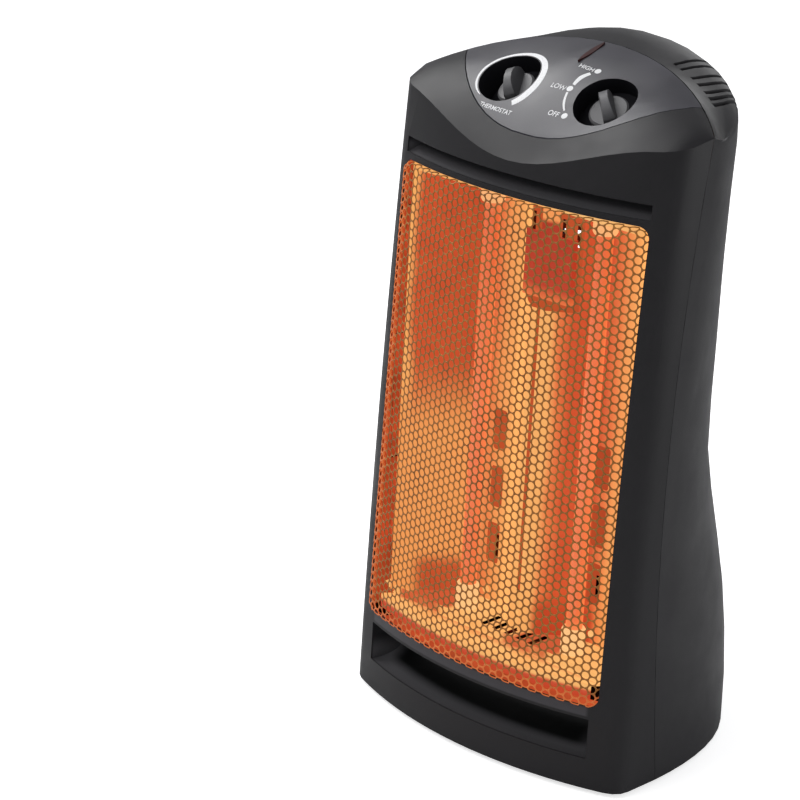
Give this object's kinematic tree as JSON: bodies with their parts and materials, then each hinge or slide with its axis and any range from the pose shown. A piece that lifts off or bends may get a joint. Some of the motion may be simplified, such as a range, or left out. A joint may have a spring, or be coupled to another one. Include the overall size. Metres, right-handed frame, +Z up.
{
  "type": "quartz radiant heater",
  "caption": "Free-standing tower heater with upright quartz tubes behind a bowed honeycomb guard and an angled deck with recessed rotary knobs.",
  "frame": {"origin": "on the floor, at the middle of the plan box", "axes": "+Z up, the guard and controls face -Y, +X is the right of a person facing the guard"},
  "size_m": [0.298, 0.2634, 0.5781],
  "materials": {
    "housing": "satin",
    "panel": "satin",
    "knob": "matte",
    "guard": "satin",
    "rubber": "matte",
    "steel": "bright",
    "zinc": "satin",
    "lens": "gloss",
    "lamp": "clear",
    "quartz": "clear",
    "wire": "satin",
    "ceramic": "matte",
    "switch": "matte",
    "dark_switch": "matte",
    "harness": "satin"
  },
  "bodies": {
    "heater": {"front_housing": "housing", "rear_housing": "housing", "control_panel": "panel", "base_plate": "housing", "guard": "guard", "guard_washers": "zinc", "foot_pads": "rubber", "thermostat_body": "switch", "power_switch_body": "switch", "bush_nuts": "zinc", "indicator_lens": "lens", "indicator_lamp": "lamp", "reflector_left": "steel", "reflector_right": "steel", "quartz_tube_left": "quartz", "quartz_tube_right": "quartz", "heating_coil_left": "wire", "heating_coil_right": "wire", "end_caps_left": "ceramic", "end_caps_right": "ceramic", "bottom_bracket": "zinc", "top_bracket": "zinc", "limit_plate": "zinc", "limit_thermostat": "zinc", "heat_shield": "steel", "tip_switch_body": "dark_switch", "tip_switch_spring": "zinc", "terminal_block": "switch", "wiring_harness": "harness", "cord_inlet_bush": "rubber", "bracket_screws": "zinc", "reflector_screws": "zinc", "shield_screws": "zinc", "rear_screws": "zinc", "base_screws": "zinc", "terminal_screws": "zinc"},
    "thermostat": {"thermostat_knob": "knob", "thermostat_shaft": "zinc"},
    "power": {"power_knob": "knob", "power_shaft": "zinc"},
    "plunger": {"tip_switch_plunger": "switch"}
  },
  "joints": [
    {"name": "thermostat_turn", "type": "hinge", "parent": "heater", "child": "thermostat", "pos_m": [-0.049, -0.0593, 0.5415], "axis": [-0.0973, -0.6018, 0.7927], "range_deg": [-161, 92]},
    {"name": "power_turn", "type": "hinge", "parent": "heater", "child": "power", "pos_m": [0.049, -0.0593, 0.5415], "axis": [0.0973, -0.6018, 0.7927], "range_deg": [0, 80]},
    {"name": "tip_slide", "type": "slide", "parent": "heater", "child": "plunger", "axis": [0, 0, 1], "range_m": [-0.005, 0], "stiffness_N_per_m": 60, "springref_m": -0.008, "deforming": ["tip_switch_spring"]}
  ]
}
